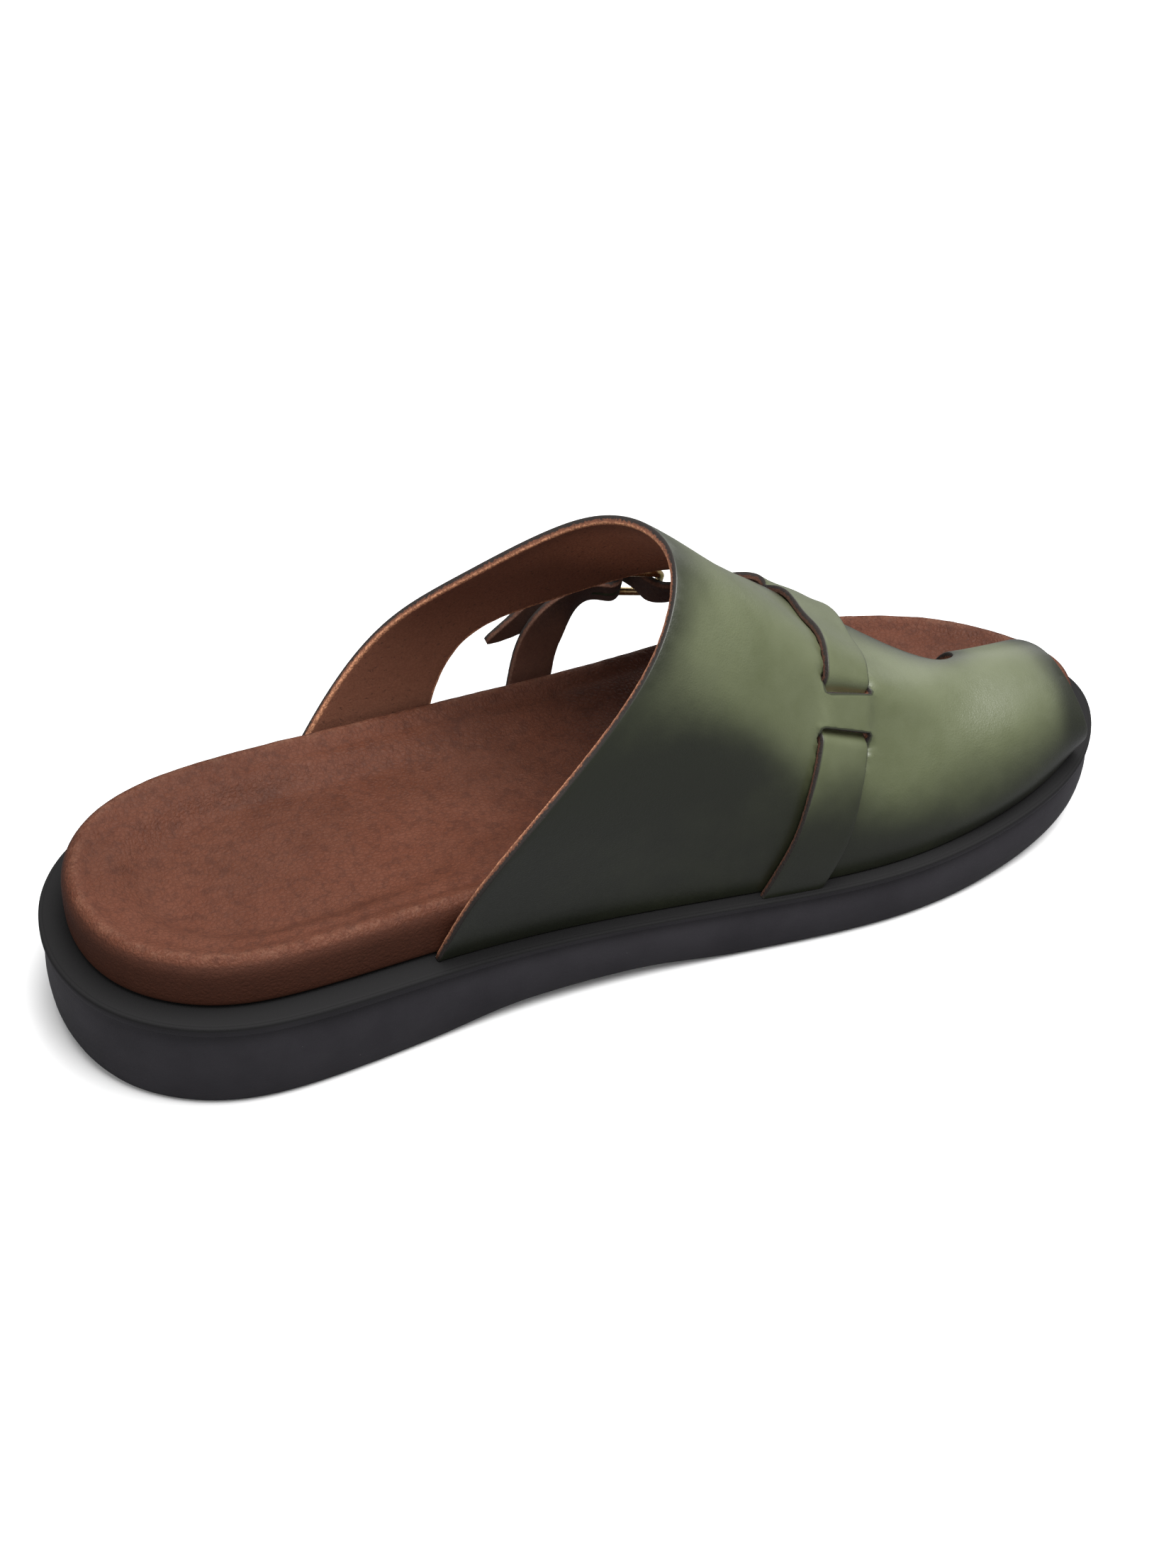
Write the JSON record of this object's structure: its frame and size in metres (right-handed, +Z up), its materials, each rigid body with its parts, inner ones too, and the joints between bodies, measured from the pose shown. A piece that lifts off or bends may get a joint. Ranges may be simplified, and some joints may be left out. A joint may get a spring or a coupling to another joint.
{
  "type": "mule",
  "caption": "Low open-heel sandal mule with a wide leather panel over the instep, a big-toe loop, a threaded buckled strap and a thick moulded sole.",
  "frame": {"origin": "on the floor, at the middle of the box that holds the part", "axes": "+Y from heel to toe, +Z up, +X towards the wearer's right, the inner side of this left shoe"},
  "size_m": [0.1106, 0.281, 0.1044],
  "materials": {
    "sole_rubber": "satin",
    "footbed_leather": "pebbled",
    "green_leather": "soft sheen",
    "strap_leather": "soft sheen",
    "buckle_brass": "polished"
  },
  "bodies": {
    "root": {"outsole": "sole_rubber", "footbed": "footbed_leather", "upper": "green_leather", "buckle_strap": "strap_leather", "billet_strap": "strap_leather", "buckle_frame": "buckle_brass", "buckle_prong": "buckle_brass"}
  },
  "joints": []
}
